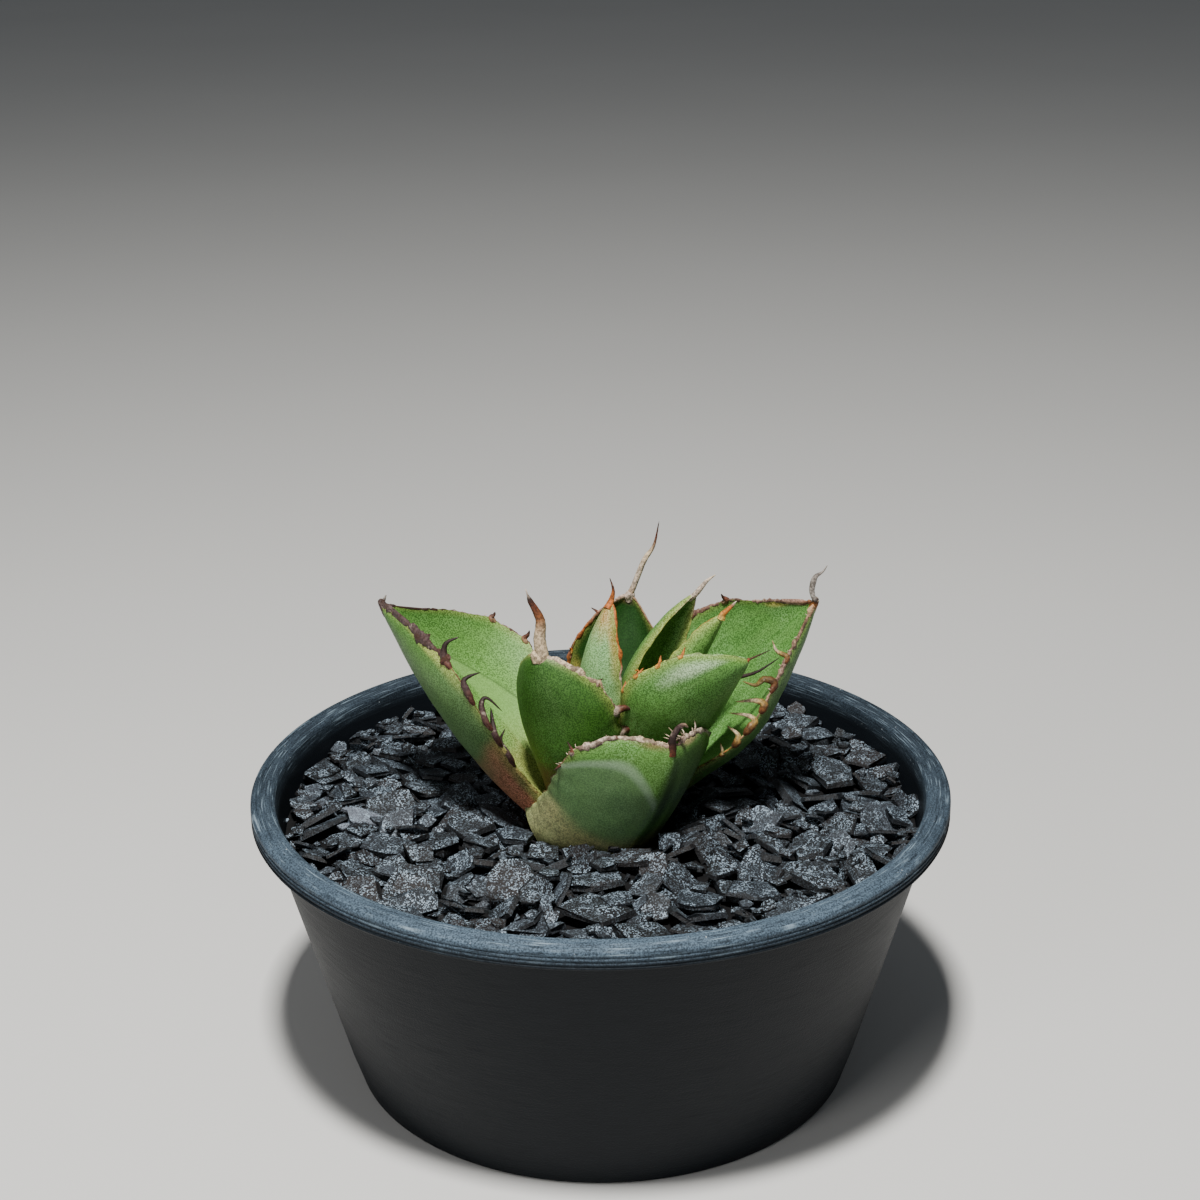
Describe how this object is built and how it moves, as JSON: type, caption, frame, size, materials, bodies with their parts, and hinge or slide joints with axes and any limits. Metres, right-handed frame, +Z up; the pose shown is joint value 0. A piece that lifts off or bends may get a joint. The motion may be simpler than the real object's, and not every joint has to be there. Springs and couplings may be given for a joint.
{
  "type": "potted agave",
  "caption": "Young spiny-leaved agave rosette in a shallow round plastic nursery pot, top-dressed with dark slate chips.",
  "frame": {"origin": "centre of the pot's foot, on the surface it stands on", "axes": "+Z up, -Y towards the front of the plant, +X to the plant's right-hand side as seen from the front"},
  "size_m": [0.105, 0.105, 0.0824],
  "materials": {
    "pot_plastic": "moulded black plastic, dusty, with fine turned ridges on the lip",
    "soil": "loose dark potting soil",
    "stem": "fibrous short stem and roots",
    "slate": "split dark slate, matt with fine sparkle",
    "leaf": "firm green leaf with a powdery bloom, horny brown margins and teeth",
    "young_leaf": "brighter green young leaf with yellow to rust margins"
  },
  "bodies": {
    "root": {"pot": "pot_plastic", "potting_soil": "soil", "stem_and_roots": "stem", "gravel_bed": "slate", "chip_01": "slate", "chip_02": "slate", "chip_03": "slate", "chip_04": "slate", "chip_05": "slate", "chip_06": "slate", "chip_07": "slate", "chip_08": "slate", "chip_09": "slate", "chip_10": "slate", "chip_11": "slate", "chip_12": "slate", "chip_13": "slate", "chip_14": "slate", "chip_15": "slate", "chip_16": "slate", "chip_17": "slate", "chip_18": "slate", "chip_19": "slate", "chip_20": "slate", "chip_21": "slate", "chip_22": "slate", "chip_23": "slate", "chip_24": "slate", "leaf_bud": "young_leaf", "leaf_inner_left": "young_leaf", "leaf_back_right": "young_leaf", "leaf_back": "young_leaf", "leaf_front_right": "leaf", "leaf_front_left": "leaf", "leaf_right": "leaf", "leaf_left": "leaf", "leaf_front": "leaf", "leaf_low_back": "leaf", "leaf_low_back_left": "leaf"}
  },
  "joints": []
}
